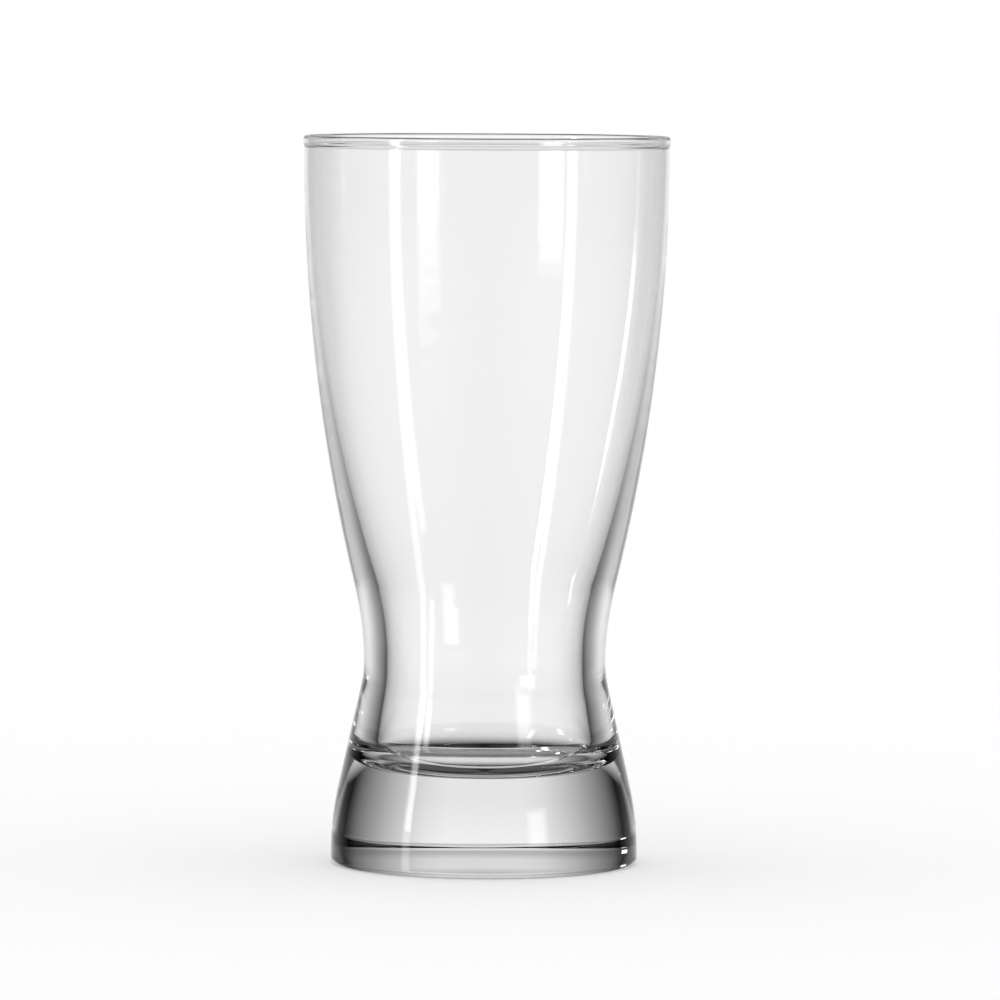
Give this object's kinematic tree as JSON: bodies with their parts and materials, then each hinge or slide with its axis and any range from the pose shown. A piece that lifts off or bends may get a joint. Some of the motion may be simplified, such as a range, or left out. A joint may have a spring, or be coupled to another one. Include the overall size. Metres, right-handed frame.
{
  "type": "pilsner glass",
  "caption": "Clear hourglass pilsner glass with a thick solid base, a drawn-in waist, a tall barrelled bowl that thins towards the mouth, and a round fire-polished rim bead.",
  "frame": {"origin": "middle of the plane that the glass rests on", "axes": "+Z along the glass's axis, up towards the mouth; the glass is round about Z, so X and Y are free"},
  "size_m": [0.073, 0.073, 0.145],
  "materials": {
    "glass": "clear, fire-polished, colourless soda-lime glass"
  },
  "bodies": {
    "root": {"heavy_base": "glass", "waist": "glass", "bowl": "glass", "rim_bead": "glass"}
  },
  "joints": []
}
